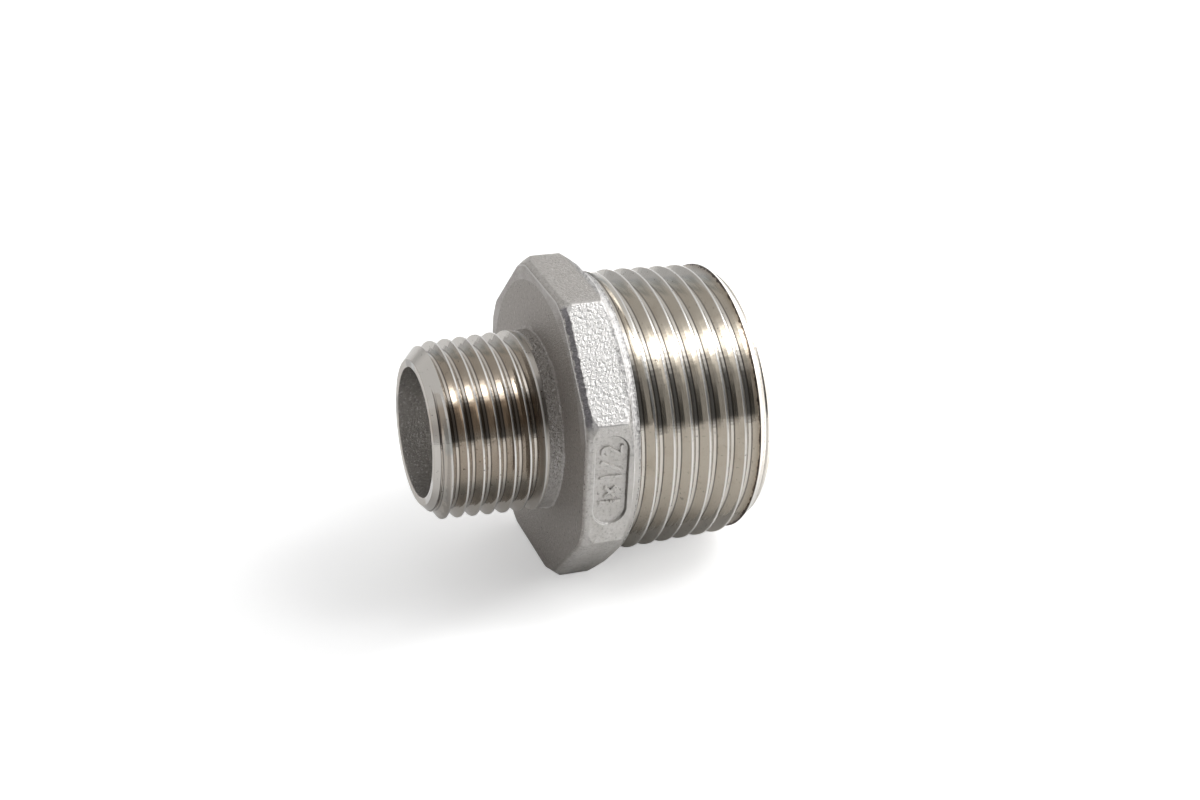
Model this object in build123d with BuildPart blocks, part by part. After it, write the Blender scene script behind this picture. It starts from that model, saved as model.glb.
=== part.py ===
from build123d import *
import os
from math import atan, atan2, cos, degrees, hypot, radians, tan

# Reducing nipple: one casting with an eight-sided collar and a tapered pipe thread on each end.
# X is the flow axis, from the small end face at zero towards the large end.
# Z is up, and the nipple lies on the collar flat that faces down.

# Both threads: sixty degree form, right hand, on a cone of one in sixteen on the diameter
inch = 25.4
taper_per_side = 1 / 32
flank_half_angle = 30
crest_cut_share = 0.09  # of the pitch, taken off the sharp crest
root_cut_share = 0.15  # of the pitch, left in the sharp root
cutter_overlap = 0.5  # how far a groove cutter stands out of the crests

# Thread on the small end, its lengths measured from that end face
small_threads_per_inch = 14
small_end_pitch_diameter = 19.264
small_thread_length = 12.9
small_rim_radius = 8.5
small_chamfer_length = 1.7
small_run_out_end = 13.27
small_run_out_turns = 0.6
small_run_out_angle = 57  # past the top, where the groove has come out of the metal

# Thread on the large end, its lengths measured from that end face
large_threads_per_inch = 11.5
large_end_pitch_diameter = 30.826
large_thread_length = 16.9
large_rim_radius = 14.7
large_chamfer_length = 1.7
large_run_out_end = 16.76
large_run_out_turns = 0.31
large_run_out_angle = 35

# Neck between the small thread and the collar
neck_step = 0.12  # the cast neck lies this much under the last crest
neck_length = 1.7
neck_fillet = 0.2

# Collar
collar_sides = 8
collar_across_flats = 35.2
collar_length = 4.8  # along a corner, to where the back starts to slope
collar_corner_fillet = 0.4
front_bevel_height = 0.45
front_bevel_length = 0.75
front_corner_radius = 18.0  # the corners are turned off from here at the front face
front_corner_length = 1.3
back_slope_length = 0.9
back_slope_radius = 17.9
back_fillet = 1.2
back_fillet_sag = 0.207  # of the straight line across that hollow fillet
shoulder_step = 0.12  # the cast skin stands this much above the machined crests

# Bore, narrow at the small end and wide at the large end
small_bore_radius = 7.6
small_bore_length = 15.0
bore_cone_length = 6.5
large_bore_radius = 12.6

# Size panel sunk in the flat that faces -Y, with plain raised numerals
panel_length = 11.0
panel_width = 3.9
panel_depth = 0.3
panel_shift = 0.45  # above the flat's middle
panel_lead = 0.15  # in front of the flat's middle
numeral_relief = 0.2
numeral_height = 2.3
numeral_width = 1.1
stroke_width = 0.42
first_one_place = -2.75
cross_place = -1.45
second_one_place = 0.4
slash_place = 1.75
two_place = 3.6

# Places along the axis and sizes that follow from those above
collar_front = small_thread_length + neck_length
bevel_end = collar_front + front_bevel_length
collar_back = collar_front + collar_length
fillet_start = collar_back + back_slope_length
shoulder = fillet_start + back_fillet
total_length = shoulder + large_thread_length
apothem = collar_across_flats / 2
corner_radius = apothem / cos(radians(180 / collar_sides))


class Thread:
    """Sizes of a tapered thread, with distances measured inwards from its end face."""

    def __init__(self, threads_per_inch, end_pitch_diameter):
        self.pitch = inch / threads_per_inch
        sharp_height = self.pitch / 2 / tan(radians(flank_half_angle))
        crest_height = sharp_height / 2 - crest_cut_share * self.pitch
        root_height = sharp_height / 2 - root_cut_share * self.pitch
        self.depth = crest_height + root_height
        self.root_flat = 2 * root_cut_share * self.pitch * tan(radians(flank_half_angle))
        self.end_crest_radius = end_pitch_diameter / 2 + crest_height

    def crest_radius(self, distance):
        return self.end_crest_radius + taper_per_side * distance


def groove(thread, start, turns, lift):
    """Cutter for a stretch of groove that starts on top, winds along +X and rises by lift on its way."""
    length = turns * thread.pitch
    cone_angle = degrees(atan(taper_per_side + lift / length))
    root = thread.crest_radius(start) - thread.depth
    top = root + thread.depth + cutter_overlap
    root_half = thread.root_flat / 2
    top_half = root_half + (top - root) * tan(radians(flank_half_angle))
    with BuildPart() as cutter:
        with BuildLine() as path:
            Helix(
                thread.pitch / cos(radians(cone_angle)),
                length,
                root,
                center=(start, 0, 0),
                direction=(1, 0, 0),
                cone_angle=cone_angle,
            )
        with BuildSketch(Plane.XZ) as section:
            with BuildLine():
                Polyline(
                    (start - top_half, top),
                    (start - root_half, root),
                    (start + root_half, root),
                    (start + top_half, top),
                    close=True,
                )
            make_face()
        sweep(sections=section.sketch, path=path.line, is_frenet=True)
    return cutter.part


def threaded_end(thread, rim_radius, chamfer_length, reach, run_out_end, run_out_turns, run_out_angle):
    """One threaded end, with X running inwards from its end face as far as reach."""
    run_out_start = run_out_end - run_out_turns * thread.pitch
    full_turns = run_out_start / thread.pitch + 1
    rise_angle = run_out_angle - 360 * run_out_turns
    full_groove = groove(thread, -thread.pitch, full_turns, 0)
    rising_groove = groove(thread, run_out_start, run_out_turns, thread.depth + shoulder_step)
    chamfer_slope = (thread.crest_radius(chamfer_length) - rim_radius) / chamfer_length
    ring_end = chamfer_length + cutter_overlap
    ring_radius = rim_radius + chamfer_slope * ring_end
    with BuildPart() as end:
        with BuildSketch(Plane.XZ) as cone:
            with BuildLine():
                Polyline(
                    (0, 0), (0, thread.crest_radius(0)), (reach, thread.crest_radius(reach)), (reach, 0), close=True
                )
            make_face()
        revolve(axis=Axis.X)
        add(full_groove, rotation=(rise_angle - 360 * full_turns, 0, 0), mode=Mode.SUBTRACT)
        add(rising_groove, rotation=(rise_angle, 0, 0), mode=Mode.SUBTRACT)
        with BuildSketch(Plane.XZ) as chamfer_ring:
            with BuildLine():
                Polyline(
                    (-cutter_overlap, rim_radius - chamfer_slope * cutter_overlap),
                    (ring_end, ring_radius),
                    (-cutter_overlap, ring_radius),
                    close=True,
                )
            make_face()
        revolve(axis=Axis.X, mode=Mode.SUBTRACT)
    return end.part


def stroke(start, end):
    """One straight stroke of a numeral, with round ends."""
    span = Vector(*end) - Vector(*start)
    with Locations((Vector(*start) + Vector(*end)) * 0.5):
        SlotCenterToCenter(span.length, stroke_width, rotation=degrees(atan2(span.Y, span.X)))


small_thread = Thread(small_threads_per_inch, small_end_pitch_diameter)
neck_radius = small_thread.crest_radius(small_thread_length) - neck_step
small_end = threaded_end(
    small_thread,
    small_rim_radius,
    small_chamfer_length,
    collar_front + collar_length / 2,
    small_run_out_end,
    small_run_out_turns,
    small_run_out_angle,
)

large_thread = Thread(large_threads_per_inch, large_end_pitch_diameter)
skin_radius = large_thread.crest_radius(large_thread_length) + shoulder_step
large_end = threaded_end(
    large_thread,
    large_rim_radius,
    large_chamfer_length,
    total_length - collar_front - collar_length / 2,
    large_run_out_end,
    large_run_out_turns,
    large_run_out_angle,
)

# Bowl of the two, drawn flat before it goes on the panel
half = numeral_height / 2
arm = numeral_width / 2
bowl = CenterArc((two_place, half - arm), arm, 160, -205)

# The back's fillet sags inwards, between wherever the slope and the large thread's skin lie
fillet_sag = -back_fillet_sag * hypot(back_fillet, back_slope_radius - skin_radius)

with BuildPart() as collar:
    # Bevelled front, then the eight flats
    for section_x, inset in [(collar_front, front_bevel_height), (bevel_end, 0)]:
        with BuildSketch(Plane.YZ.offset(section_x)) as flats:
            RegularPolygon(apothem - inset, collar_sides, major_radius=False, rotation=180 / collar_sides)
            fillet(flats.vertices(), radius=collar_corner_fillet)
    loft()
    with BuildSketch(Plane.YZ.offset(bevel_end)) as flats:
        RegularPolygon(apothem, collar_sides, major_radius=False, rotation=180 / collar_sides)
        fillet(flats.vertices(), radius=collar_corner_fillet)
    extrude(amount=shoulder - bevel_end)

    # The corners turned off in front, and the back falling in a hollow curve to the thread
    with BuildSketch(Plane.XZ) as envelope:
        with BuildLine():
            Polyline(
                (shoulder, skin_radius),
                (shoulder, 0),
                (collar_front, 0),
                (collar_front, front_corner_radius),
                (collar_front + front_corner_length, corner_radius),
                (collar_back, corner_radius),
                (fillet_start, back_slope_radius),
            )
            SagittaArc((fillet_start, back_slope_radius), (shoulder, skin_radius), fillet_sag)
        make_face()
    revolve(axis=Axis.X, mode=Mode.INTERSECT)

    # Fillet from the neck into the collar's front face
    with BuildSketch(Plane.XZ) as root_fillet:
        with BuildLine():
            Polyline(
                (collar_front, neck_radius + neck_fillet),
                (collar_front, neck_radius - neck_fillet),
                (collar_front - neck_fillet, neck_radius - neck_fillet),
                (collar_front - neck_fillet, neck_radius),
            )
            RadiusArc(
                (collar_front - neck_fillet, neck_radius), (collar_front, neck_radius + neck_fillet), neck_fillet
            )
        make_face()
    revolve(axis=Axis.X)

with BuildPart() as reducing_nipple:
    # Small end, its cast neck, the collar, and the large end turned to face the other way
    add(small_end)
    with BuildSketch(Plane.XZ) as neck_ring:
        with Locations((small_thread_length, neck_radius)):
            Rectangle(neck_length + collar_length, cutter_overlap, align=(Align.MIN, Align.MIN))
    revolve(axis=Axis.X, mode=Mode.SUBTRACT)
    add(collar.part)
    with Locations(Plane(origin=(total_length, 0, 0), x_dir=(-1, 0, 0), z_dir=(0, 0, 1))):
        add(large_end)

    # Bore
    with BuildSketch(Plane.XZ) as bore:
        with BuildLine():
            Polyline(
                (0, 0),
                (0, small_bore_radius),
                (small_bore_length, small_bore_radius),
                (small_bore_length + bore_cone_length, large_bore_radius),
                (total_length, large_bore_radius),
                (total_length, 0),
                close=True,
            )
        make_face()
    revolve(axis=Axis.X, mode=Mode.SUBTRACT)

    # Size panel with its numerals, which read towards +Z
    panel_middle = (bevel_end + fillet_start) / 2 - panel_lead
    panel_face = Plane(origin=(panel_middle, -apothem, panel_shift), x_dir=(0, 0, 1), z_dir=(0, -1, 0))
    with BuildSketch(panel_face) as panel:
        SlotOverall(panel_length, panel_width)
    extrude(amount=-panel_depth, mode=Mode.SUBTRACT)
    with BuildSketch(panel_face.offset(-panel_depth)) as numerals:
        for place in (first_one_place, second_one_place):
            stroke((place, -half), (place, half))
        stroke((cross_place - arm, -arm), (cross_place + arm, arm))
        stroke((cross_place - arm, arm), (cross_place + arm, -arm))
        stroke((slash_place - arm, -half), (slash_place + arm, half))
        SlotArc(bowl, stroke_width)
        stroke(bowl @ 1, (two_place - arm, -half))
        stroke((two_place - arm, -half), (two_place + arm, -half))
    extrude(amount=numeral_relief)

reducing_nipple.part.label = "reducing_nipple"

os.makedirs("parts", exist_ok=True)
export_step(reducing_nipple.part, "parts/reducing_nipple.step")
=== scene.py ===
import math
import bpy
from mathutils import Matrix


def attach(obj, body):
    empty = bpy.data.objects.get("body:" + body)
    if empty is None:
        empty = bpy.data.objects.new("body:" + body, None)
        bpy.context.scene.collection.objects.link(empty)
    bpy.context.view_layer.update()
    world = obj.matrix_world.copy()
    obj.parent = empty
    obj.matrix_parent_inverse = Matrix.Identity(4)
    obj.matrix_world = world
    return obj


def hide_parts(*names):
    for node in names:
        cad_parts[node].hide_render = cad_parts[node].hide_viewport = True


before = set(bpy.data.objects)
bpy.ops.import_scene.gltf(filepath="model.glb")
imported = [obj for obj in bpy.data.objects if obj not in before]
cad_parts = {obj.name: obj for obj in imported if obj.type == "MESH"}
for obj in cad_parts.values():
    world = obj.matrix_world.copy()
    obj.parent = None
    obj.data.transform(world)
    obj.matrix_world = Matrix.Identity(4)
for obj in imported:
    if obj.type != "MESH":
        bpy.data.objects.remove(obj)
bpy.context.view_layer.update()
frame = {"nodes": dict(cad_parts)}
mm = 0.001
print("Frame loaded:", ", ".join(frame["nodes"]))


# A socket that takes part in sums: every operator adds the node it needs
class Value:
    def __init__(self, graph, socket):
        self.graph = graph
        self.socket = socket

    def math(self, operation, *others):
        return self.graph.math(operation, self, *others)

    def __add__(self, other):
        return self.math("ADD", other)

    __radd__ = __add__

    def __sub__(self, other):
        return self.math("SUBTRACT", other)

    def __rsub__(self, other):
        return self.graph.math("SUBTRACT", other, self)

    def __mul__(self, other):
        return self.math("MULTIPLY", other)

    __rmul__ = __mul__

    def __truediv__(self, other):
        return self.math("DIVIDE", other)

    def __rtruediv__(self, other):
        return self.graph.math("DIVIDE", other, self)

    def __pow__(self, other):
        return self.math("POWER", other)

    def __neg__(self):
        return self.math("MULTIPLY", -1.0)

    def __abs__(self):
        return self.math("ABSOLUTE")

    def __gt__(self, other):
        return self.math("GREATER_THAN", other)

    def __lt__(self, other):
        return self.math("LESS_THAN", other)

    def least(self, other):
        return self.math("MINIMUM", other)

    def most(self, other):
        return self.math("MAXIMUM", other)

    def clamp(self):
        return self.most(0.0).least(1.0)

    # 0 below low, 1 above high, and smooth between them; low above high gives a fall
    def ease(self, low, high):
        return self.graph.node(
            "ShaderNodeMapRange",
            {"interpolation_type": "SMOOTHSTEP"},
            {"Value": self, "From Min": low, "From Max": high},
        )

    # 1 from full to fade, easing to 0 at start and end
    def band(self, start, full, fade, end):
        return self.ease(start, full) * self.ease(end, fade)


# A node tree under construction
class Graph:
    def __init__(self, tree):
        self.tree = tree

    def pick(self, sockets, key):
        live = [s for s in sockets if s.enabled]
        return live[key] if isinstance(key, int) else next(s for s in live if s.name == key)

    # Any node: its settings first, then the values or links of its sockets; gives what comes out of it
    def node(self, kind, settings=None, inputs=None):
        made = self.tree.nodes.new(kind)
        for name, value in (settings or {}).items():
            if name == "choices":
                for extra in range(value - 2):
                    made.index_switch_items.new()
            else:
                setattr(made, name, value)
        for key, value in (inputs or {}).items():
            socket = self.pick(made.inputs, key)
            for one in value if isinstance(value, list) else [value]:
                if isinstance(one, Value):
                    self.tree.links.new(one.socket, socket)
                else:
                    socket.default_value = one
        outputs = [Value(self, s) for s in made.outputs if s.enabled]
        return outputs[0] if len(outputs) == 1 else outputs

    def math(self, operation, *terms):
        return self.node("ShaderNodeMath", {"operation": operation}, dict(enumerate(terms)))

    def vectorMath(self, operation, *terms):
        return self.node("ShaderNodeVectorMath", {"operation": operation}, dict(enumerate(terms)))

    def vector(self, x, y, z):
        return self.node("ShaderNodeCombineXYZ", None, {0: x, 1: y, 2: z})

    def split(self, vector):
        return self.node("ShaderNodeSeparateXYZ", None, {0: vector})

    def noise(self, vector, scale, detail=2.0, rough=0.5, distortion=0.0):
        shape = {"Scale": scale, "Detail": detail, "Roughness": rough, "Distortion": distortion}
        return self.node("ShaderNodeTexNoise", None, {"Vector": vector, **shape})[0]

    def mixTone(self, share, first, second):
        return self.node("ShaderNodeMix", {"data_type": "RGBA"}, {"Factor": share, "A": first, "B": second})


# cornerFillet becomes Corner Fillet
def label(key):
    return "".join(" " + letter if letter.isupper() else letter for letter in key).title()


# A new geometry tree with a named input for each size; gives the graph and those inputs
def geometryTree(name, sizes):
    tree = bpy.data.node_groups.new(name, "GeometryNodeTree")
    tree.is_modifier = True
    for key, default in sizes.items():
        kind = "NodeSocketInt" if isinstance(default, int) else "NodeSocketFloat"
        tree.interface.new_socket(label(key), in_out="INPUT", socket_type=kind).default_value = default
    tree.interface.new_socket("Geometry", in_out="OUTPUT", socket_type="NodeSocketGeometry")
    graph = Graph(tree)
    outputs = tree.nodes.new("NodeGroupInput").outputs
    return graph, {key: Value(graph, outputs[label(key)]) for key in sizes}


def finishTree(graph, geometry):
    output = graph.tree.nodes.new("NodeGroupOutput")
    graph.tree.links.new(geometry.socket, output.inputs[0])
    for place, node in enumerate(graph.tree.nodes):
        node.location = (180 * (place // 12), -160 * (place % 12))
    return graph.tree


# Camera, set where the photograph was taken from
camera = {
    "eye": (-51.556 * mm, -190.765 * mm, 103.061 * mm),
    "right": (0.93893, -0.34100, 0.04603),
    "up": (0.11336, 0.43283, 0.89432),
    "back": (-0.32489, -0.83449, 0.44506),
    "lens": 57.70,
    "sensor": 36.0,
}
cameraObject = bpy.data.objects.new("camera", bpy.data.cameras.new("camera"))
bpy.context.scene.collection.objects.link(cameraObject)
cameraObject.data.lens = camera["lens"]
cameraObject.data.sensor_width = camera["sensor"]
cameraObject.data.sensor_fit = "HORIZONTAL"
cameraObject.data.clip_start = 0.01
axes = [camera[key] for key in ("right", "up", "back", "eye")]
cameraObject.matrix_world = Matrix([[axis[i] for axis in axes] for i in range(3)] + [[0, 0, 0, 1]])
bpy.context.scene.camera = cameraObject
bpy.context.scene.view_settings.view_transform = "Standard"
print("Camera set")

# Columns round the casting, the same in every section so that they join: closest at the collar's corners
columns = {"perFlat": 32, "crowding": 1.8}
weld = 0.0015 * mm

# Thread form shared by both ends, as shares of the pitch, and the taper on each side
threadForm = {"crestCut": 0.09, "rootCut": 0.15, "edge": 0.012, "bow": -0.03, "taper": 1 / 32}

smallEnd = {
    "turnsPerInch": 14,
    "pitchDiameter": 19.264 * mm,
    "threadLength": 12.9 * mm,
    "rimRadius": 8.5 * mm,
    "chamferLength": 1.7 * mm,
    "leadIn": 0.0,
    "runOutEnd": 13.27 * mm,
    "runOutTurns": 0.6,
    "runOutAngle": 57.0,
}
largeEnd = {
    "turnsPerInch": 11.5,
    "pitchDiameter": 30.826 * mm,
    "threadLength": 16.9 * mm,
    "rimRadius": 14.7 * mm,
    "chamferLength": 2.2 * mm,
    "leadIn": 2.0 * mm,
    "runOutEnd": 16.76 * mm,
    "runOutTurns": 0.31,
    "runOutAngle": 35.0,
}
neck = {"step": 0.12 * mm, "length": 1.7 * mm, "fillet": 0.2 * mm}
collar = {
    "apothem": 17.6 * mm,
    "cornerFillet": 0.4 * mm,
    "bevelHeight": 0.45 * mm,
    "bevelLength": 0.75 * mm,
    "frontCornerRadius": 18.0 * mm,
    "frontCornerLength": 1.3 * mm,
    "flatLength": 4.8 * mm,
    "slopeLength": 0.9 * mm,
    "slopeRadius": 17.9 * mm,
    "hollowLength": 1.2 * mm,
    "frontEdge": 0.12 * mm,
    "softness": 0.12 * mm,
    "unevenness": 0.05 * mm,
}
shoulderStep = 0.12 * mm  # the cast skin stands this much above the large thread's crests


def threadSizes(end):
    pitch = 25.4 * mm / end["turnsPerInch"]
    sharp = pitch / 2 * math.sqrt(3)
    crest = sharp / 2 - threadForm["crestCut"] * pitch
    root = sharp / 2 - threadForm["rootCut"] * pitch
    return {
        "pitch": pitch,
        "taper": threadForm["taper"],
        "endCrestRadius": end["pitchDiameter"] / 2 + crest,
        "depth": crest + root,
        "rootHalf": threadForm["rootCut"] * pitch / math.sqrt(3),
        "edge": threadForm["edge"] * pitch,
        "bow": threadForm["bow"] * pitch,
        "lift": crest + root + shoulderStep,
        **{key: end[key] for key in end if key not in ("turnsPerInch", "pitchDiameter")},
    }


# Places along the axis and radii that follow from the sizes above
collarFront = smallEnd["threadLength"] + neck["length"]
collarBack = collarFront + collar["flatLength"]
shoulder = collarBack + collar["slopeLength"] + collar["hollowLength"]
totalLength = shoulder + largeEnd["threadLength"]
smallThread = threadSizes(smallEnd)
largeThread = threadSizes(largeEnd)
neckRadius = smallThread["endCrestRadius"] + threadForm["taper"] * smallEnd["threadLength"] - neck["step"]
skinRadius = largeThread["endCrestRadius"] + threadForm["taper"] * largeEnd["threadLength"] + shoulderStep
quarter = math.pi / 2
smallSection = {
    **smallThread,
    "sectionLength": collarFront - neck["fillet"],
    "skinRadius": neckRadius,
    "endRadius": neckRadius,
}
largeSection = {
    **largeThread,
    "sectionLength": largeEnd["threadLength"],
    "skinRadius": skinRadius,
    "endRadius": skinRadius,
}


# A grid with its rows along the profile and its columns round the axis; gives the mesh, row and angle
def ringGrid(graph, rows, size):
    mesh = graph.node(
        "GeometryNodeMeshGrid",
        None,
        {"Size X": 1.0, "Size Y": 1.0, "Vertices X": size["perFlat"] * 8 + 1, "Vertices Y": rows + 1},
    )[0]
    across, along, up = graph.split(graph.node("GeometryNodeInputPosition"))
    column = ((across + 0.5) * size["perFlat"] * 8).math("ROUND")
    row = ((along + 0.5) * rows).math("ROUND")
    flat = (column / size["perFlat"]).math("FLOOR")
    share = (column / size["perFlat"] - flat) * 2 - 1
    turned = share.math("SIGN") * abs(share) ** size["crowding"] * 0.5 + 0.5
    return mesh, row, (flat + turned) * 45.0


# Where the steps of a profile stand at each row: every step goes from 0 to 1 over its own rows
def profileSteps(row, counts):
    return [((row - sum(counts[:i])) / count).clamp() for i, count in enumerate(counts)]


def roundAxis(graph, place, radius, angle):
    radians = angle * (math.pi / 180)
    return graph.vector(place, radius * radians.math("COSINE"), radius * radians.math("SINE"))


# Notes which of the grid's points a lathe has turned, then puts them round the axis
def wrapRound(graph, mesh, place, radius, angle, turned):
    noted = graph.node(
        "GeometryNodeStoreNamedAttribute",
        {"data_type": "FLOAT", "domain": "POINT"},
        {"Geometry": mesh, "Name": "turned", "Value": turned},
    )
    where = roundAxis(graph, place, radius, angle)
    return graph.node("GeometryNodeSetPosition", None, {"Geometry": noted, "Position": where})


# Slow waves in the cast skin
def castWave(graph, position, size):
    return (graph.noise(position, 320.0) - 0.5) * size


# One threaded end from its end face inwards: its rows follow the helix and lie on the edges of crest and root
def threadTree():
    graph, size = geometryTree("pipe thread", {**smallSection, **columns})
    pitch, taper, rootHalf, length = size["pitch"], size["taper"], size["rootHalf"], size["sectionLength"]
    steep = math.sqrt(3)  # flanks at sixty degrees
    hair = 0.001 * mm  # parts places and surfaces that would otherwise meet exactly
    endAngle = size["runOutAngle"] + 90
    startAngle = endAngle - size["runOutTurns"] * 360
    chamferTop = size["endCrestRadius"] + taper * size["chamferLength"]
    slope = (chamferTop - size["rimRadius"]) / size["chamferLength"]

    def grooveMiddle(angle):
        return size["runOutEnd"] + pitch * (angle - endAngle) / 360

    # The root rises out of the metal at the run-out, and up to the chamfer near the end face
    def rootRadius(angle, middle):
        risen = ((angle - startAngle) / (size["runOutTurns"] * 360)).most(0.0)
        root = size["endCrestRadius"] + taper * middle - size["depth"] + size["lift"] * risen
        share = ((size["leadIn"] - middle) / (size["leadIn"] * 0.5 + hair)).clamp()
        chamfer = size["rimRadius"] + slope * middle - 30 * hair
        return root + (chamfer - root).most(0.0) * share

    def skin(place):
        crest = size["endCrestRadius"] + taper * place
        return crest + (place > size["threadLength"]) * (size["skinRadius"] - crest)

    # Where the groove at that angle comes out of the metal, on each side
    def grooveEdges(angle):
        middle = grooveMiddle(angle)
        root = rootRadius(angle, middle)
        over = skin(middle) - root + rootHalf * steep
        chamfer = size["rimRadius"] + slope * middle - root + rootHalf * steep
        left = (over / (steep + taper)).least(chamfer / (slope + steep))
        right = (over / (steep - taper)).least(chamfer / (steep - slope))
        onRoot = ((root - size["rimRadius"]) / slope).most(middle - rootHalf).least(middle + rootHalf)
        return middle, onRoot + (left > rootHalf) * (middle - left - onRoot), middle + right.most(rootHalf)

    rowsPerTurn = 12  # as many as the places listed below
    first = (-grooveMiddle(360.0) / pitch).math("FLOOR") - 1
    last = ((length - grooveMiddle(0.0)) / pitch).math("CEIL") + 1
    rows = (last - first + 1) * rowsPerTurn
    mesh, row, angle = ringGrid(graph, rows, size)
    turn = (row / rowsPerTurn).math("FLOOR")
    whole = angle + (turn + first) * 360
    middle, left, right = grooveEdges(whole)
    before = grooveEdges(whole - 360)[2]
    leftRoot = (middle - rootHalf).most(left)
    rightRoot = (middle + rootHalf).most(left)
    leftEdge = size["edge"].least((leftRoot - left) * 0.25)
    rightEdge = size["edge"].least((right - rightRoot) * 0.25)
    rootEdge = size["edge"].least((rightRoot - leftRoot) * 0.25)
    crestEdge = size["edge"].least((left - before) * 0.2)
    nearEnd = (left + before) < length
    target = size["threadLength"] + nearEnd * (size["chamferLength"] - size["threadLength"])
    places = [
        (target - crestEdge).most(before + crestEdge).least(left - crestEdge),
        (target + crestEdge).most(before + crestEdge).least(left - crestEdge),
        left - crestEdge,
        left + leftEdge,
        (left + leftRoot) * 0.5,
        leftRoot - leftEdge,
        leftRoot + rootEdge,
        rightRoot - rootEdge,
        rightRoot + rightEdge,
        (rightRoot + right) * 0.5,
        right - rightEdge,
        right + crestEdge,
    ]
    chosen = graph.node(
        "GeometryNodeIndexSwitch",
        {"data_type": "FLOAT", "choices": rowsPerTurn},
        {"Index": row - turn * rowsPerTurn, **{str(i): place for i, place in enumerate(places)}},
    )
    place = chosen.most(0.0).least(length)

    # The metal's radius there: groove, crest, cast skin or chamfer, whichever is deepest
    nearAngle = angle + ((place - grooveMiddle(angle)) / pitch).math("ROUND") * 360
    nearMiddle = grooveMiddle(nearAngle)
    outward = (abs(place - nearMiddle) - rootHalf).most(0.0) * steep
    upFlank = (outward / size["depth"]).clamp()
    groove = rootRadius(nearAngle, nearMiddle) + outward + upFlank * (1 - upFlank) * 4 * size["bow"]
    outside = skin(place).least(size["rimRadius"] + slope * place)
    radius = outside.least(groove)
    radius = radius + (row > rows - 0.5) * (size["endRadius"] - radius)
    isCast = (place > size["threadLength"] + 10 * hair) * (groove > outside - 2 * hair)
    return finishTree(graph, wrapRound(graph, mesh, place, radius, angle, 1 - isCast))


collarSizes = {
    **collar,
    "front": collarFront,
    "neckRadius": neckRadius,
    "neckFillet": neck["fillet"],
    "skinRadius": skinRadius,
}


# The cast collar's radius at a place along the axis and an angle round it
def collarRadius(size, place, angle):
    ahead = place - size["front"]
    bevelEnd = 0.05 * mm
    inset = ((1 - ahead / size["bevelLength"]) * size["bevelHeight"]).math("SMOOTH_MAX", 0.0, bevelEnd)
    apothem = size["apothem"] - inset
    off = abs(angle - (angle / 45).math("ROUND") * 45) * (math.pi / 180)
    halfSide = math.pi / 8  # half the angle that one of the eight flats takes up
    fromCorner = halfSide - off
    flat = apothem / off.math("COSINE")
    centre = (apothem - size["cornerFillet"]) / math.cos(halfSide)
    reach = (size["cornerFillet"] ** 2 - (centre * fromCorner.math("SINE")) ** 2).most(0.0).math("SQRT")
    rounded = centre * fromCorner.math("COSINE") + reach
    isRounded = flat * fromCorner.math("SINE") < size["cornerFillet"] * math.sin(halfSide)
    octagon = flat + isRounded * (rounded - flat)
    corner = size["apothem"] / math.cos(halfSide)
    turnedOff = corner - size["frontCornerRadius"]
    frontCone = size["frontCornerRadius"] + ahead / size["frontCornerLength"] * turnedOff
    onSlope = (ahead - size["flatLength"]) / size["slopeLength"]
    backCone = corner - onSlope * (corner - size["slopeRadius"])
    intoHollow = 1 - (ahead - size["flatLength"] - size["slopeLength"]) / size["hollowLength"]
    fall = (1 - intoHollow**2).most(0.0).math("SQRT")
    hollow = size["slopeRadius"] - (size["slopeRadius"] - size["skinRadius"]) * fall
    back = backCone + (onSlope > 1.0) * (hollow - backCone)
    return octagon.math("SMOOTH_MIN", frontCone.least(back), size["softness"])


# The collar from the neck's fillet to the shoulder behind it
def collarTree():
    graph, size = geometryTree("cast collar", {**collarSizes, **columns})
    counts = [3, 7, 3, 15, 6, 11, 10]  # rows for the fillet, face, edge, corners, flats, slope, hollow
    mesh, row, angle = ringGrid(graph, sum(counts), size)
    fillet, face, rim, corners, flats, slope, hollow = profileSteps(row, counts)
    edge = size["frontEdge"]
    rimRadius = collarRadius(size, size["front"], angle) - edge
    rimEnd = collarRadius(size, size["front"] + edge, angle)
    cornersEnd = size["frontCornerLength"] + 0.05 * mm
    place = (
        size["front"]
        - size["neckFillet"]
        + (fillet * quarter).math("SINE") * size["neckFillet"]
        + (1 - (rim * quarter).math("COSINE")) * edge
        + corners * (cornersEnd - edge)
        + flats * (size["flatLength"] - cornersEnd)
        + slope * size["slopeLength"]
        + (1 - (hollow * quarter).math("COSINE")) * size["hollowLength"]
    )
    onFace = (
        size["neckRadius"]
        + (1 - (fillet * quarter).math("COSINE")) * size["neckFillet"]
        + face * (rimRadius - size["neckRadius"] - size["neckFillet"])
        + (rim * quarter).math("SINE") * (rimEnd - rimRadius)
    )
    isOuter = row > sum(counts[:3]) + 0.5
    radius = onFace + isOuter * (collarRadius(size, place, angle) - onFace)
    inside = (face * 3).clamp() * ((1 - hollow) * 2).clamp()
    wave = castWave(graph, roundAxis(graph, place, radius, angle), size["unevenness"] * inside)
    sideways = (1 - isOuter) * (1 - rim)
    wrapped = wrapRound(graph, mesh, place + wave * sideways, radius + wave * (1 - sideways), angle, 0.0)
    return finishTree(graph, wrapped)


bore = {
    "smallRadius": 7.6 * mm,
    "smallLength": 15.0 * mm,
    "coneLength": 6.5 * mm,
    "largeRadius": 12.6 * mm,
    "mouthEdge": 0.1 * mm,
    "roughness": 0.1 * mm,
}
boreSizes = {
    **bore,
    "totalLength": totalLength,
    "largeRim": largeEnd["rimRadius"],
    "smallRim": smallEnd["rimRadius"],
}


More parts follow.
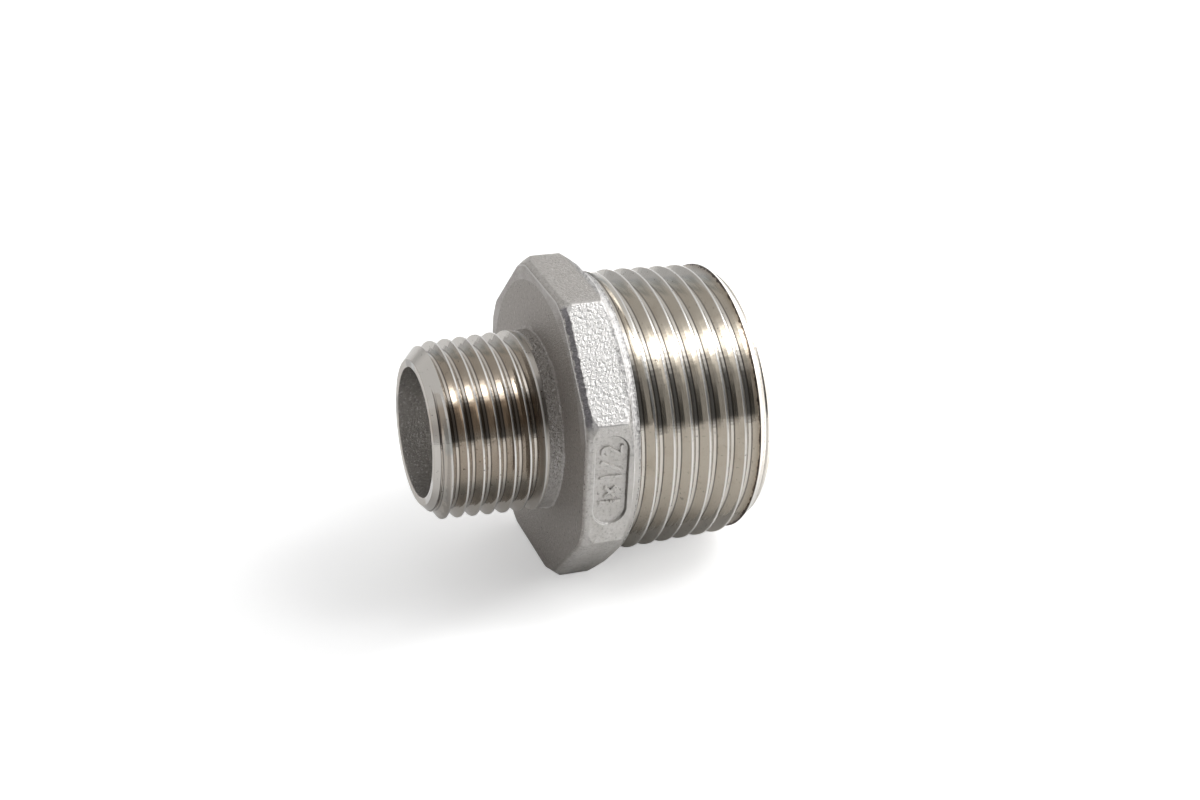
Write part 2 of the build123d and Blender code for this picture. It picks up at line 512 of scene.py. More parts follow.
# Both end faces and the bore, from the large rim through to the small one
def boreTree():
    graph, size = geometryTree("end faces and bore", {**boreSizes, **columns})
    counts = [2, 3, 5, 5, 12, 3, 2]  # rows for the large face, mouth, bore, cone, small bore, mouth and face
    mesh, row, angle = ringGrid(graph, sum(counts), size)
    largeFace, largeMouth, largeBore, cone, smallBore, smallMouth, smallFace = profileSteps(row, counts)
    edge = size["mouthEdge"]
    coneEnd = size["smallLength"] + size["coneLength"]
    place = (
        size["totalLength"]
        - (1 - (largeMouth * quarter).math("COSINE")) * edge
        - largeBore * (size["totalLength"] - edge - coneEnd)
        - cone * size["coneLength"]
        - smallBore * (size["smallLength"] - edge)
        - (smallMouth * quarter).math("SINE") * edge
    )
    radius = (
        size["largeRim"]
        - largeFace * (size["largeRim"] - size["largeRadius"] - edge)
        - (largeMouth * quarter).math("SINE") * edge
        - cone * (size["largeRadius"] - size["smallRadius"])
        + (1 - (smallMouth * quarter).math("COSINE")) * edge
        + smallFace * (size["smallRim"] - size["smallRadius"] - edge)
    )
    inside = (largeBore * 4).clamp() * ((1 - smallBore) * 8).clamp()
    wave = abs(castWave(graph, roundAxis(graph, place, radius, angle), size["roughness"] * inside))
    isCast = (largeMouth > 0.99) * (smallMouth < 0.01)
    return finishTree(graph, wrapRound(graph, mesh, place, radius - wave, angle, 1 - isCast))


# The sunk panel and its raised numerals: the body's flat is opened there, and a finer grid is sewn in
panel = {
    "length": 11.0 * mm,
    "width": 3.9 * mm,
    "depth": 0.3 * mm,
    "shift": 0.45 * mm,
    "lead": 0.15 * mm,
    "relief": 0.2 * mm,
    "numeralHeight": 2.3 * mm,
    "numeralWidth": 1.1 * mm,
    "firstOne": -2.75 * mm,
    "cross": -1.45 * mm,
    "secondOne": 0.4 * mm,
    "slash": 1.75 * mm,
    "two": 3.6 * mm,
    "stroke": 0.42 * mm,
    "wall": 0.1 * mm,
    "spacing": 0.06 * mm,
    "hem": 0.12 * mm,
}
panelSizes = {
    **{key: value for key, value in panel.items() if key != "lead"},
    "middle": (collarFront + collar["bevelLength"] + collarBack + collar["slopeLength"]) / 2 - panel["lead"],
    "apothem": collar["apothem"],
    "unevenness": collar["unevenness"],
}
bowl = {"start": math.radians(160), "sweep": math.radians(-205)}  # the round top of the two


# The numerals as lines on the panel's own flat drawing: one, cross, one, slash and two
def numeralLines(graph, size):
    half, arm = size["numeralHeight"] / 2, size["numeralWidth"] / 2
    one, otherOne = size["firstOne"], size["secondOne"]
    cross, slash, two = size["cross"], size["slash"], size["two"]
    bowlHeight, lean = half - arm, bowl["start"] + bowl["sweep"]
    strokes = [
        ((one, -half), (one, half)),
        ((cross - arm, -arm), (cross + arm, arm)),
        ((cross - arm, arm), (cross + arm, -arm)),
        ((otherOne, -half), (otherOne, half)),
        ((slash - arm, -half), (slash + arm, half)),
        ((two + arm * math.cos(lean), bowlHeight + arm * math.sin(lean)), (two - arm, -half)),
        ((two - arm, -half), (two + arm, -half)),
    ]
    lines = []
    for start, end in strokes:
        ends = {"Start": graph.vector(*start, 0.0), "End": graph.vector(*end, 0.0)}
        lines.append(graph.node("GeometryNodeCurvePrimitiveLine", None, ends))
    arc = graph.node(
        "GeometryNodeCurveArc",
        {"mode": "RADIUS"},
        {"Resolution": 24, "Radius": arm, "Start Angle": bowl["start"], "Sweep Angle": bowl["sweep"]},
    )
    centre = graph.vector(two, bowlHeight, 0.0)
    lines.append(graph.node("GeometryNodeTransform", None, {"Geometry": arc, "Translation": centre}))
    joined = graph.node("GeometryNodeJoinGeometry", None, {"Geometry": lines})
    return graph.node("GeometryNodeCurveToMesh", None, {"Curve": joined})


# Between the panel's own flat drawing, numerals upright, and its place on the flat that faces -Y
def fromFlat(graph, size, along, across, height):
    return graph.vector(size["middle"] - across, -size["apothem"] - height, size["shift"] + along)


def toFlat(graph, size):
    x, y, z = graph.split(graph.node("GeometryNodeInputPosition"))
    return graph.vector(z - size["shift"], size["middle"] - x, 0.0)


# How far a place on that drawing lies outside the panel's wall
def panelWall(along, across, size):
    beyond = (abs(along) - (size["length"] - size["width"]) / 2).most(0.0)
    return (beyond**2 + across**2).math("SQRT") - size["width"] / 2


def panelGrid(graph, size, halfLength, halfWidth):
    mesh = graph.node(
        "GeometryNodeMeshGrid",
        None,
        {
            "Size X": halfLength * 2,
            "Size Y": halfWidth * 2,
            "Vertices X": (halfLength * 2 / size["spacing"]).math("CEIL"),
            "Vertices Y": (halfWidth * 2 / size["spacing"]).math("CEIL"),
        },
    )[0]
    along, across, up = graph.split(graph.node("GeometryNodeInputPosition"))
    half = size["wall"] / 2
    sunk = panelWall(along, across, size).ease(half, -half)
    lines = numeralLines(graph, size)
    near = graph.node("GeometryNodeProximity", {"target_element": "EDGES"}, {"Geometry": lines})[1]
    raised = (near - size["stroke"] / 2).ease(half, -half)
    height = raised * size["relief"] - sunk * size["depth"]
    where = fromFlat(graph, size, along, across, height)
    uneven = fromFlat(graph, size, along, across, height + castWave(graph, where, size["unevenness"]))
    return graph.node("GeometryNodeSetPosition", None, {"Geometry": mesh, "Position": uneven})


def onMarkedSide(graph, size):
    x, y, z = graph.split(graph.node("GeometryNodeInputPosition"))
    return y < size["apothem"] * -0.9


# The open rim of a mesh near the panel, laid flat as edges that remember where they came from
def flatRim(graph, mesh, size):
    lonely = graph.node("GeometryNodeInputMeshEdgeNeighbors") < 1.5
    rim = graph.node(
        "GeometryNodeSeparateGeometry",
        {"domain": "EDGE"},
        {"Geometry": mesh, "Selection": lonely * onMarkedSide(graph, size)},
    )[0]
    noted = graph.node(
        "GeometryNodeStoreNamedAttribute",
        {"data_type": "FLOAT_VECTOR", "domain": "POINT"},
        {"Geometry": rim, "Name": "sewn", "Value": graph.node("GeometryNodeInputPosition")},
    )
    return graph.node("GeometryNodeSetPosition", None, {"Geometry": noted, "Position": toFlat(graph, size)})


def sewPanel(graph, body, size):
    halfLength, halfWidth = size["length"] / 2 + size["hem"], size["width"] / 2 + size["hem"] / 2
    along, across, up = graph.split(toFlat(graph, size))
    clear = size["hem"] / 3
    inside = (abs(across) < halfWidth + clear) * (abs(along) < halfLength + clear)
    opened = graph.node(
        "GeometryNodeDeleteGeometry",
        {"domain": "POINT", "mode": "ALL"},
        {"Geometry": body, "Selection": inside * onMarkedSide(graph, size)},
    )
    patch = panelGrid(graph, size, halfLength, halfWidth)
    bothRims = [flatRim(graph, opened, size), flatRim(graph, patch, size)]
    rims = graph.node("GeometryNodeJoinGeometry", None, {"Geometry": bothRims})
    outline = graph.node("GeometryNodeMeshToCurve", None, {"Mesh": rims})
    seam = graph.node("GeometryNodeFillCurve", {"mode": "TRIANGLES"}, {"Curve": outline})
    index = graph.node(
        "GeometryNodeSampleNearest",
        {"domain": "POINT"},
        {"Geometry": rims, "Sample Position": graph.node("GeometryNodeInputPosition")},
    )
    sewn = graph.node("GeometryNodeInputNamedAttribute", {"data_type": "FLOAT_VECTOR"}, {"Name": "sewn"})[0]
    back = graph.node(
        "GeometryNodeSampleIndex",
        {"data_type": "FLOAT_VECTOR", "domain": "POINT"},
        {"Geometry": rims, "Value": sewn, "Index": index},
    )
    seam = graph.node("GeometryNodeSetPosition", None, {"Geometry": seam, "Position": back})
    return graph.node("GeometryNodeJoinGeometry", None, {"Geometry": [opened, patch, seam]})


# The whole nipple: sections round the axis, welded, then the panel sewn in
pipeThread = threadTree()
sections = {
    "small": (pipeThread, smallSection),
    "large": (pipeThread, largeSection),
    "collar": (collarTree(), collarSizes),
    "bore": (boreTree(), boreSizes),
}


# small and pitch become smallPitch
def joined(word, key):
    return word + key[0].upper() + key[1:]


def partTree():
    inputs = {**columns, "weld": weld, "sharpAngle": math.radians(25)}
    for word, sizes in [(word, sizes) for word, (tree, sizes) in sections.items()] + [("panel", panelSizes)]:
        inputs.update({joined(word, key): value for key, value in sizes.items()})
    graph, size = geometryTree("reducing nipple", inputs)
    built = {}
    for word, (tree, sizes) in sections.items():
        values = {label(key): size[joined(word, key)] for key in sizes}
        values.update({label(key): size[key] for key in columns})
        built[word] = graph.node("GeometryNodeGroup", {"node_tree": tree}, values)
    farEnd = graph.vector(size["boreTotalLength"], 0.0, 0.0)
    built["large"] = graph.node(
        "GeometryNodeTransform",
        None,
        {"Geometry": built["large"], "Rotation": (0.0, 0.0, math.pi), "Translation": farEnd},
    )
    body = graph.node("GeometryNodeJoinGeometry", None, {"Geometry": list(built.values())})
    body = graph.node("GeometryNodeMergeByDistance", None, {"Geometry": body, "Distance": size["weld"]})
    body = sewPanel(graph, body, {key: size[joined("panel", key)] for key in panelSizes})
    body = graph.node("GeometryNodeMergeByDistance", None, {"Geometry": body, "Distance": size["weld"]})
    turned = graph.node("GeometryNodeInputNamedAttribute", {"data_type": "FLOAT"}, {"Name": "turned"})[0]
    angle = graph.node("GeometryNodeInputMeshEdgeAngle")[0]
    body = graph.node(
        "GeometryNodeSetShadeSmooth",
        {"domain": "EDGE"},
        {"Geometry": body, "Selection": (angle > size["sharpAngle"]) * (turned > 0.5), "Shade Smooth": False},
    )
    body = graph.node("GeometryNodeRealizeInstances", None, {"Geometry": body})
    body = graph.node("GeometryNodeSetMaterial", None, {"Geometry": body, "Material": castSteel})
    byLathe = {"Geometry": body, "Selection": turned > 0.5, "Material": turnedSteel}
    body = graph.node("GeometryNodeSetMaterial", None, byLathe)
    return finishTree(graph, body)


# A new material or world: gives its graph, with an empty tree
def shaderGraph(owner):
    owner.use_nodes = True
    owner.node_tree.nodes.clear()
    return Graph(owner.node_tree)


def objectPlace(graph):
    return graph.node("ShaderNodeTexCoord")[3]


# Bare metal whose tone, gloss and relief vary
def metal(graph, tone, roughness, height):
    bump = graph.node("ShaderNodeBump", None, {"Strength": 1.0, "Distance": 1.0, "Height": height})
    shader = graph.node(
        "ShaderNodeBsdfPrincipled",
        None,
        {"Base Color": tone, "Metallic": 1.0, "Roughness": roughness, "Normal": bump},
    )
    graph.node("ShaderNodeOutputMaterial", None, {"Surface": shader})


# Degrees up from the side of the size panel, with the seam at the back
def aroundFront(y, z):
    return z.math("ARCTAN2", -y) * (180 / math.pi)


# Where that angle nears its seam: marks that belong to the front have ended by then
backHalf = (105.0, 135.0)

# Looks of the cast skin, with its painted light and shade. Four angles say where a mark starts, is full,
# fades and ends
castFinishAndPaintedLight = {
    "tone": (0.61, 0.59, 0.56, 1),
    "paleTone": (0.67, 0.65, 0.625, 1),
    "brightTone": (0.74, 0.725, 0.71, 1),
    "frontTone": (0.42, 0.39, 0.365, 1),
    "neckTone": (0.70, 0.675, 0.65, 1),
    "pitAndShadeTone": (0.12, 0.11, 0.10, 1),
    "shadeTone": (0.20, 0.19, 0.20, 1),
    "edgeTone": (0.85, 0.84, 0.83, 1),
    "backTone": (0.56, 0.55, 0.54, 1),
    "boreTone": (0.40, 0.38, 0.36, 1),
    "roughness": 0.46,
    "grainScale": 3900.0,
    "grain": 0.13 * mm,
    "fleckScale": 2838.0,
    "fleck": 0.11 * mm,
    "lumpScale": 2200.0,
    "neckGrain": 0.36 * mm,
    "mottleScale": 520.0,
    "sandScale": 2600.0,
    "sand": 0.3,
    "sparkleScale": 3600.0,
    "pitScale": 3300.0,
    "pits": 0.72,
    "raggedScale": 1400.0,
    "ragged": 0.7 * mm,
    "brightFlat": (21.0, 23.5, 66.0, 69.0),
    "topFlat": (67.0, 70.0, 110.0, 113.0),
    "shadedBevel": (20.0, 24.0, 67.0, 69.0),
    "shadedDepth": (0.12 * mm, 0.25 * mm, 0.72 * mm, 0.85 * mm),
    "markShadeMiddle": -2.0 * mm,
}


# Sand-cast skin: fine grain, leathery flecks on the brightest flat and behind it, a rough neck, small pits,
# and painted light and shade
def makeCastSteel():
    material = bpy.data.materials.new("cast steel")
    graph = shaderGraph(material)
    look = castFinishAndPaintedLight
    place = objectPlace(graph)
    x, y, z = graph.split(place)
    radius = (y**2 + z**2).math("SQRT")
    front = aroundFront(y, z)
    away = abs(front).ease(*backHalf)
    isOuter = radius > bore["smallRadius"] + 0.8 * mm
    isNeck = radius.ease(neckRadius + 0.5 * mm, neckRadius + 0.2 * mm) * (x < collarFront) * isOuter
    isFace = x.ease(collarFront + 0.5 * mm, collarFront + 0.1 * mm) * isOuter
    isBack = x.ease(collarBack + 0.1 * mm, collarBack + 0.7 * mm) * (radius > bore["largeRadius"] + 1.0 * mm)
    isBright = front.band(*look["brightFlat"]) * (x > collarFront + 0.2 * mm)
    isLeathery = isBright.most(isBack)

    grain = graph.noise(place, look["grainScale"], 2.0, 0.7)
    down = (y + z) * -math.sqrt(0.5)
    slanted = graph.vector(x + down, (x - down) * 0.5, z * 0.4)
    flecks = graph.noise(slanted, look["fleckScale"], 1.5, 0.6, 0.5)
    lumps = graph.noise(place, look["lumpScale"], 3.0, 0.7)
    height = (
        grain * ((1 - isBright) * (isFace * 0.8 + 1) * look["grain"])
        + flecks * isLeathery * look["fleck"]
        + lumps * isNeck * look["neckGrain"]
    )

    # Tones of the bore, the flats, the back slope, the front face and the neck, with painted light on the
    # brightest flat, painted shade on the top flat, a painted highlight on the back slope's ridge and a
    # painted lighter lower side on the neck
    mottle = graph.noise(place, look["mottleScale"], 4.0, 0.7)
    tone = graph.mixTone(mottle.ease(0.35, 0.65), look["tone"], look["paleTone"])
    inBore = radius.ease(bore["largeRadius"] + 0.5 * mm, bore["smallRadius"] + 0.5 * mm) * (1 - isOuter)
    tone = graph.mixTone(inBore, tone, look["boreTone"])
    # Painted light: the flat that faces the key light made paler
    tone = graph.mixTone(isBright, tone, look["brightTone"])
    # Painted shade: the top flat darkened
    tone = graph.mixTone(front.band(*look["topFlat"]) * 0.5, tone, look["frontTone"])
    behind = isBack * front.ease(0.0, 24.0).most(away)
    tone = graph.mixTone(behind, tone, look["backTone"])
    tone = graph.mixTone(behind * flecks.ease(0.5, 0.64) * 0.55, tone, look["shadeTone"])
    # Painted highlight along the rounded ridge behind the back slope
    fromRidge = abs(x - collarBack - 1.15 * mm + (lumps - 0.5) * 0.3 * mm)
    ridge = fromRidge.ease(0.14 * mm, 0.04 * mm) * front.ease(-30.0, 0.0).most(away)
    tone = graph.mixTone(ridge, tone, look["edgeTone"])
    tone = graph.mixTone(isFace, tone, look["frontTone"])
    # Painted light and shade: the neck paler on its lower side than above
    lowNeck = (front + (lumps - 0.5) * 60).ease(30.0, -10.0) * isNeck * (1 - away)
    tone = graph.mixTone(lowNeck, tone, look["neckTone"])

    # Sand marks, painted glints in the bore and on the neck, and pits
    sand = graph.noise(place, look["sandScale"], 2.0, 0.8)
    tone = graph.mixTone(sand.ease(0.48, 0.30) * (1 - isLeathery) * look["sand"], tone, look["pitAndShadeTone"])
    tone = graph.mixTone(sand.ease(0.54, 0.72) * (1 - isLeathery) * look["sand"], tone, look["edgeTone"])
    # Painted glints: bright specks in the bore and on the neck
    sparkle = graph.noise(place, look["sparkleScale"], 1.0, 0.7).ease(0.58, 0.70)
    tone = graph.mixTone(sparkle * ((1 - isOuter) * 0.5 + isNeck * 0.4), tone, look["edgeTone"])
    pits = graph.noise(place, look["pitScale"], 1.0).ease(look["pits"], look["pits"] + 0.03)
    tone = graph.mixTone(pits * (1 - isLeathery) * isOuter * (isFace * 0.6 + 0.4), tone, look["pitAndShadeTone"])

    # Painted shade on the bright flat's front bevel, with a ragged edge, and a painted highlight along the
    # edge in front of it
    ragged = (graph.noise(place, look["raggedScale"], 3.0, 0.7) - 0.5) * look["ragged"]
    shade = (x - collarFront + ragged).band(*look["shadedDepth"]) * front.band(*look["shadedBevel"])
    shade = shade * (radius > collar["apothem"] * 0.9)
    tone = graph.mixTone(shade * (lumps * 0.6 + 0.6).least(1.0), tone, look["shadeTone"])
    frontEdgeGlint = abs(x - collarFront - 0.06 * mm).ease(0.08 * mm, 0.03 * mm) * (radius > collar["apothem"] * 0.93)
    tone = graph.mixTone(frontEdgeGlint * front.ease(10.0, 24.0).most(away) * 0.6, tone, look["edgeTone"])

    # Painted highlight on one side of the size panel's walls and painted shade on the other, and painted
    # shade in blotches round its lower marks
    onMarked = y < collar["apothem"] * -0.95
    along = z - panel["shift"]
    across = panelSizes["middle"] - x
    fromWall = panelWall(along, across, panel)
    wall = abs(fromWall).ease(0.14 * mm, 0.05 * mm) * onMarked
    side = across / (panel["width"] / 2) - along / (panel["length"] * 0.9)
    # Painted highlight on one side of the walls, painted shade on the other
    tone = graph.mixTone(wall * side.ease(0.3, 0.8) * 0.8, tone, look["edgeTone"])
    tone = graph.mixTone(wall * side.ease(-0.1, -0.5) * 0.75, tone, look["pitAndShadeTone"])
    markShade = abs(along - look["markShadeMiddle"]).ease(1.2 * mm, 0.9 * mm) * (fromWall < -0.5 * mm)
    tone = graph.mixTone(markShade * lumps.ease(0.57, 0.63) * onMarked * 0.8, tone, look["pitAndShadeTone"])

    # Ragged dark line where the cast skin ends at the large thread
    seam = abs(x - shoulder + 0.16 * mm + ragged * 0.3).ease(0.09 * mm, 0.03 * mm) * lumps.ease(0.47, 0.56)
    tone = graph.mixTone(seam * 0.7, tone, look["pitAndShadeTone"])
    metal(graph, tone, look["roughness"], height)
    return material


# Looks of the turned threads, with their painted light and shade. The angles are as above; crest and root are
# turns away from the groove's middle
turnedFinishAndPaintedLight = {
    "tone": (0.66, 0.625, 0.57, 1),
    "smallTone": (0.585, 0.54, 0.485, 1),
    "crestTone": (0.90, 0.89, 0.87, 1),
    "rootTone": (0.22, 0.20, 0.19, 1),
    "stainAndShadeTone": (0.42, 0.35, 0.28, 1),
    "threadShadeTone": (0.30, 0.32, 0.31, 1),
    "speckAndShadeTone": (0.08, 0.06, 0.05, 1),
    "roughness": 0.11,
    "lines": 0.0009 * mm,
    "chatter": 0.010 * mm,
    "chatterAngle": 3.4,
    "crest": (0.442, 0.454),
    "rootLine": 0.1,
    "stainScale": 260.0,
    "speckScale": 3700.0,
    "specks": 0.735,
    "burrScale": 1500.0,
    "burr": 0.9 * mm,
    "dull": (18.0, 28.0, 41.0, 47.0),
    "lower": (-34.0, -27.0, -18.0, -12.0),
    "lastFlank": (11.5 * mm, 12.3 * mm),
    "unlit": (20.0, 26.0, 51.0, 56.0),
    "topShade": (84.0, 91.0, 94.0, 101.0),
    "top": (88.0, 97.0),
    "chamferGrooves": 0.72 * mm,
    "shadedChamfer": (8.0, 14.0, 24.0, 38.0),
}


def chamferSlope(end):
    chamferTop = end["endCrestRadius"] + end["taper"] * end["chamferLength"]
    return (chamferTop - end["rimRadius"]) / end["chamferLength"]


# Steel left by the thread tool: lines along the cut, chatter across it, bright crests, burnished and with
# painted highlight, dark roots of painted shade, specks, and more painted light and shade
def makeTurnedSteel():
    material = bpy.data.materials.new("turned steel")
    graph = shaderGraph(material)
    look = turnedFinishAndPaintedLight
    place = objectPlace(graph)
    x, y, z = graph.split(place)
    isLarge = x > (collarFront + collarBack) / 2
    isSmall = 1 - isLarge

    def either(small, large):
        return isLarge * (large - small) + small

    # How far in from the end face, how many turns along the helix, and how far under the chamfer's cone
    front = aroundFront(y, z)
    away = abs(front).ease(*backHalf)
    fromEnd = x + isLarge * (totalLength - x * 2)
    angle = front * (isLarge * 2 - 1) + isSmall * 180
    pitch = either(smallThread["pitch"], largeThread["pitch"])
    runOut = either(smallEnd["runOutEnd"], largeEnd["runOutEnd"])
    runOutAngle = either(smallEnd["runOutAngle"] + 90, largeEnd["runOutAngle"] + 90)
    turns = (fromEnd - runOut) / pitch - (angle - runOutAngle) / 360
    off = abs(turns - turns.math("ROUND"))
    chamfer = either(chamferSlope(smallThread), chamferSlope(largeThread)) * fromEnd
    above = chamfer + either(smallEnd["rimRadius"], largeEnd["rimRadius"]) - (y**2 + z**2).math("SQRT")
    onThread = above.ease(0.002 * mm, 0.006 * mm)
    crest = off.ease(*look["crest"]) * onThread
    root = abs(off - look["rootLine"]).ease(0.035, 0.015) * onThread

    lines = graph.noise(graph.vector(off * 40.0, front / 40, 0.0), 1.0, 2.0, 0.7)
    chatter = graph.noise(graph.vector(front / look["chatterAngle"], turns * 0.9, 0.0), 1.0, 0.0)
    height = lines * look["lines"] + chatter * look["chatter"] * onThread

    # Stains, and on the small thread a band of painted shade, painted shade on its lower side, and the last
    # flank by the neck with a painted dark reflection of the collar's face
    tone = graph.mixTone(isLarge, look["smallTone"], look["tone"])
    stain = graph.noise(place, look["stainScale"], 3.0, 0.6).ease(0.5, 0.72)
    tone = graph.mixTone(stain * 0.2, tone, look["stainAndShadeTone"])
    # Painted shade: a band that dims the small thread's highlights
    tone = graph.mixTone(front.band(*look["dull"]) * isSmall * 0.8, tone, look["stainAndShadeTone"])
    # Painted shade on the small thread's lower side
    lower = front.band(*look["lower"]) * off.ease(0.42, 0.30) * isSmall
    tone = graph.mixTone(lower * onThread * 0.3, tone, look["threadShadeTone"])
    lastFlank = fromEnd.ease(*look["lastFlank"]) * isSmall
    tone = graph.mixTone(lastFlank * 0.2, tone, look["crestTone"])
    # Painted dark reflection of the collar's face on the last flank
    unlit = lastFlank * front.band(*look["unlit"]) * off.ease(0.46, 0.40)
    tone = graph.mixTone(unlit * 0.75, tone, look["rootTone"])

    # Painted shade under the crest tops, painted light on the tops, a pale small chamfer, painted shade along
    # the roots and bright crests with painted highlight
    topShade = (front + (off - 0.25) * 40).band(*look["topShade"]) * off.ease(0.40, 0.28)
    tone = graph.mixTone(topShade * onThread * 0.75, tone, look["threadShadeTone"])
    # Painted light on the thread's top
    tone = graph.mixTone(front.ease(*look["top"]) * (1 - away) * onThread * 0.35, tone, look["crestTone"])
    tone = graph.mixTone((1 - onThread) * isSmall * (fromEnd > 0.03 * mm) * 0.35, tone, look["crestTone"])
    # Painted shade along the roots
    tone = graph.mixTone(root * 0.7, tone, look["rootTone"])
    # Bright crests: burnished, with painted highlight
    tone = graph.mixTone(crest * 0.7, tone, look["crestTone"])

    # Burr that the chamfering left along the last turn, with a brown tint beside it
    wander = (graph.noise(place, look["burrScale"], 2.0, 0.7) - 0.5) * look["burr"]
    beside = above.ease(0.01 * mm, 0.03 * mm) * (fromEnd > 1.2 * mm)
    burr = (above + wander).ease(0.38 * mm, 0.26 * mm) * beside * (isLarge * 0.65 + 0.3)
    tone = graph.mixTone(above.ease(1.3 * mm, 0.1 * mm) * beside * isLarge * 0.7, tone, look["stainAndShadeTone"])
    speck = graph.noise(place, look["speckScale"], 1.0).ease(look["specks"], look["specks"] + 0.02)
    tone = graph.mixTone(speck.most(burr), tone, look["speckAndShadeTone"])

    # Painted shade of two fine grooves in the small end's chamfer, and painted shade on a patch of it
    fromGroove = abs(abs(fromEnd - look["chamferGrooves"]) - 0.09 * mm)
    groove = fromGroove.ease(0.055 * mm, 0.03 * mm) * front.ease(60.0, 30.0) * (1 - away) * isSmall
    tone = graph.mixTone(groove * 0.8, tone, look["speckAndShadeTone"])
    patch = fromEnd.ease(0.95 * mm, 1.1 * mm) * (fromEnd < 1.75 * mm) * front.band(*look["shadedChamfer"])
    tone = graph.mixTone(patch * isSmall * 0.5, tone, look["threadShadeTone"])
    metal(graph, tone, crest * 0.12 + lastFlank * 0.22 + look["roughness"], height)
    return material


castSteel = makeCastSteel()
turnedSteel = makeTurnedSteel()
print("Finishes made")

# The nipple: its tree is evaluated on an empty holder, and the result kept as a plain mesh
holder = bpy.data.objects.new("holder", bpy.data.meshes.new("holder"))
bpy.context.scene.collection.objects.link(holder)
modifier = holder.modifiers.new("reducing nipple", "NODES")
modifier.node_group = partTree()
for item in modifier.node_group.interface.items_tree:
    if item.in_out == "INPUT":
        modifier[item.identifier] = item.default_value
evaluated = holder.evaluated_get(bpy.context.evaluated_depsgraph_get())
nippleMesh = bpy.data.meshes.new_from_object(evaluated)
nippleMesh.materials.pop(index=0)  # the holder's own empty slot
holder.modifiers.remove(modifier)
bpy.data.objects.remove(holder)
nipple = bpy.data.objects.new("nippleBody", nippleMesh)
bpy.context.scene.collection.objects.link(nipple)
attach(nipple, "root")
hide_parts("reducing_nipple")
print("Nipple built:", len(nippleMesh.polygons), "faces")

# Floor, which the nipple rests on with its collar and its largest thread, a little nose down
floor = {
    "touchFirst": (20.35 * mm, -17.6 * mm),
    "slope": 0.084,
    "left": -500 * mm,
    "right": 700 * mm,
    "front": -700 * mm,
    "behind": 500 * mm,
    "tone": (0.85, 0.85, 0.85, 1),
    "glow": 0.395,
    "thinnerShadow": 0.16,
    "glintAhead": 0.2,
    "glintBehind": 0.9,
}


def floorCorner(x, y):
    height = floor["touchFirst"][1] + (x - floor["touchFirst"][0]) * floor["slope"]
    return (x, y, height)


# White for the camera, with a glow that thins the shadow in front; metal sees that glow there and far behind
def makePaper():
    material = bpy.data.materials.new("white paper")
    graph = shaderGraph(material)
    seen = graph.node("ShaderNodeLightPath")
    byCamera, byMetal = seen[0], seen[3].most(seen[6])  # camera rays; glossy or transmission rays
    x, y, z = graph.split(objectPlace(graph))
    frontRight = ((x * 0.6 - y * 0.8 - 12 * mm) / (33 * mm)).clamp()
    backRight = x.ease(40 * mm, 70 * mm) * y.ease(-40 * mm, -10 * mm)
    thinner = (x * 0.35 - y - 9 * mm).ease(0.0, 9 * mm) * floor["thinnerShadow"]
    glints = frontRight * floor["glintAhead"] + backRight * floor["glintBehind"]
    light = byCamera * (thinner + floor["glow"]) + byMetal * glints
    diffuse = graph.node("ShaderNodeBsdfDiffuse", None, {"Color": floor["tone"]})
    glow = graph.node("ShaderNodeEmission", None, {"Color": light, "Strength": 1.0})
    both = graph.node("ShaderNodeAddShader", None, {0: diffuse, 1: glow})
    graph.node("ShaderNodeOutputMaterial", None, {"Surface": both})
    return material


floorMesh = bpy.data.meshes.new("floor")
ahead = [floorCorner(floor[side], floor["front"]) for side in ("left", "right")]
astern = [floorCorner(floor[side], floor["behind"]) for side in ("right", "left")]
floorMesh.from_pydata(ahead + astern, [], [(0, 1, 2, 3)])
floorMesh.materials.append(makePaper())
floorObject = bpy.data.objects.new("floor", floorMesh)
bpy.context.scene.collection.objects.link(floorObject)
print("Floor laid")

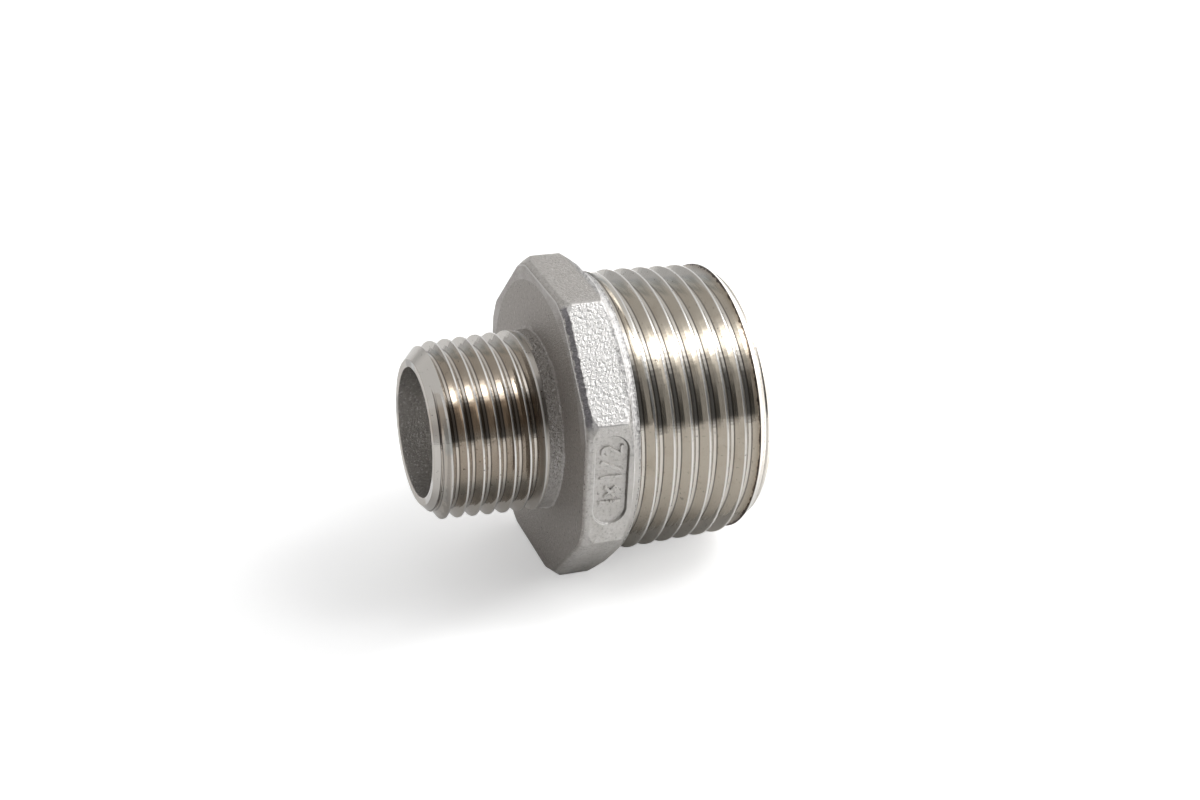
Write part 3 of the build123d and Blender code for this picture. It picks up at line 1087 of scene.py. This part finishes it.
# Room round the nipple, as patches of light: azimuth from +X towards +Y and elevation, in degrees
room = {
    "above": 0.62,
    "level": 0.75,
    "patches": [
        {"azimuth": (104, 198), "elevation": (15, 74), "soft": 8.0, "level": 0.62},
        {"azimuth": (104, 198), "elevation": (-25, 12), "soft": 6.0, "level": 0.46},
        {"azimuth": (198, 306), "elevation": (3, 66), "soft": 5.0, "level": 0.08},
        {"azimuth": (308, 326), "elevation": (-5, 60), "soft": 6.0, "level": 0.40},
        {"azimuth": (-26, 46), "elevation": (-8, 36), "soft": 8.0, "level": 3.0},
        {"azimuth": (320, 376), "elevation": (44, 76), "soft": 8.0, "level": 0.55},
    ],
    "lamps": [
        {"toward": (345, 56), "spread": 8.5, "level": 9.0},
        {"toward": (347, 58), "spread": 16.0, "level": 1.1},
        {"toward": (181, 46), "spread": 11.0, "level": 1.5},
    ],
}


# 1 between low and high, with edges as soft as said
def between(value, low, high, soft):
    return value.band(low - soft, low + soft, high - soft, high + soft)


def direction(azimuth, elevation):
    a, e = math.radians(azimuth), math.radians(elevation)
    return (math.cos(a) * math.cos(e), math.sin(a) * math.cos(e), math.sin(e))


# The camera sees white past the floor; everything else is lit by the room
def fillWorld(world):
    graph = shaderGraph(world)
    sight = graph.node("ShaderNodeTexCoord")[0]
    x, y, z = graph.split(sight)
    elevation = z.math("ARCSINE") * (180 / math.pi)
    azimuth = y.math("ARCTAN2", x) * (180 / math.pi)
    light = (elevation / 90).clamp() * (room["above"] - room["level"]) + room["level"]
    for patch in room["patches"]:
        low, high = patch["azimuth"]
        rounds = ((azimuth - (low + high) / 2) / 360).math("ROUND")
        mask = between(azimuth - rounds * 360, low, high, patch["soft"])
        mask = mask * between(elevation, *patch["elevation"], patch["soft"])
        light = light + mask * (patch["level"] - light)
    for lamp in room["lamps"]:
        apart = graph.vectorMath("DOT_PRODUCT", sight, direction(*lamp["toward"]))
        sharpness = 2 / math.radians(lamp["spread"]) ** 2
        light = light + ((apart - 1) * sharpness).math("EXPONENT") * lamp["level"]
    byCamera = graph.node("ShaderNodeLightPath")[0]
    roomLight = graph.node("ShaderNodeBackground", None, {"Color": light, "Strength": 1.0})
    white = graph.node("ShaderNodeBackground", None, {"Color": (1, 1, 1, 1), "Strength": 1.0})
    sky = graph.node("ShaderNodeMixShader", None, {0: byCamera, 1: roomLight, 2: white})
    graph.node("ShaderNodeOutputWorld", None, {"Surface": sky})


world = bpy.data.worlds.new("studio")
bpy.context.scene.world = world
fillWorld(world)
print("Studio set")
